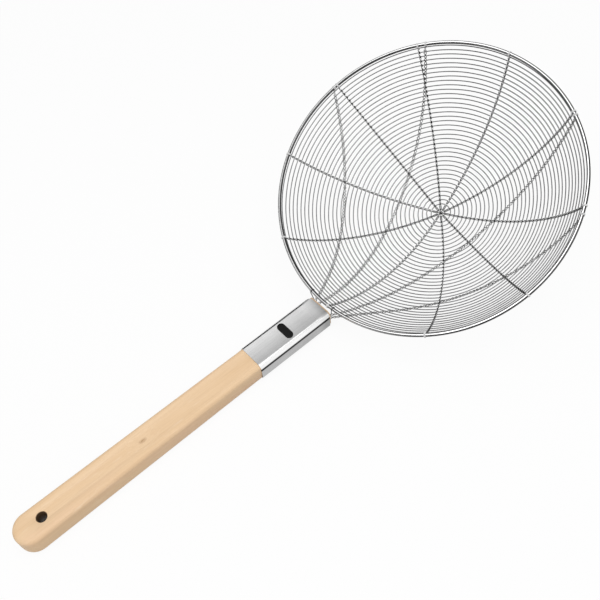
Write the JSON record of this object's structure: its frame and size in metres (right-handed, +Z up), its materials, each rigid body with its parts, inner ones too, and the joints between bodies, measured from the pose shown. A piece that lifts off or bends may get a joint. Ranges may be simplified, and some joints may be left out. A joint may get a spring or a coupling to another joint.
{
  "type": "spider skimmer",
  "caption": "Spider skimmer: a wide dished wire mesh of closed rings and twisted ribs on a rim ring, joined to a wooden handle with a metal ferrule.",
  "frame": {"origin": "middle of the footprint, on the table plane that the bowl's bottom, the ferrule and the handle's butt rest on", "axes": "+X from the handle's butt towards the bowl, +Y to the left seen from the handle, +Z up"},
  "size_m": [0.6507, 0.3194, 0.1762],
  "materials": {
    "wood": "satin",
    "wire": "polished",
    "ferrule_steel": "satin",
    "badge": "satin"
  },
  "bodies": {
    "root": {"handle": "wood", "ferrule": "ferrule_steel", "badge": "badge", "ferrule_nails": "ferrule_steel", "rim_ring": "wire", "hub_knot": "wire", "ring_01": "wire", "ring_02": "wire", "ring_03": "wire", "ring_04": "wire", "ring_05": "wire", "ring_06": "wire", "ring_07": "wire", "ring_08": "wire", "ring_09": "wire", "ring_10": "wire", "ring_11": "wire", "ring_12": "wire", "ring_13": "wire", "ring_14": "wire", "ring_15": "wire", "ring_16": "wire", "ring_17": "wire", "ring_18": "wire", "ring_19": "wire", "ring_20": "wire", "ring_21": "wire", "ring_22": "wire", "ring_23": "wire", "ring_24": "wire", "ring_25": "wire", "ring_26": "wire", "ring_27": "wire", "ring_28": "wire", "ring_29": "wire", "ring_30": "wire", "ring_31": "wire", "ring_32": "wire", "ring_33": "wire", "ring_34": "wire", "ring_35": "wire", "ring_36": "wire", "ring_37": "wire", "rib_01": "wire", "rib_02": "wire", "rib_03": "wire", "rib_04": "wire", "rib_05": "wire", "rib_06": "wire", "rib_07": "wire", "rib_08": "wire", "rib_09": "wire", "rib_10": "wire", "support_a": "wire", "support_b": "wire", "support_d": "wire", "support_e": "wire", "rim_ties": "wire"}
  },
  "joints": []
}
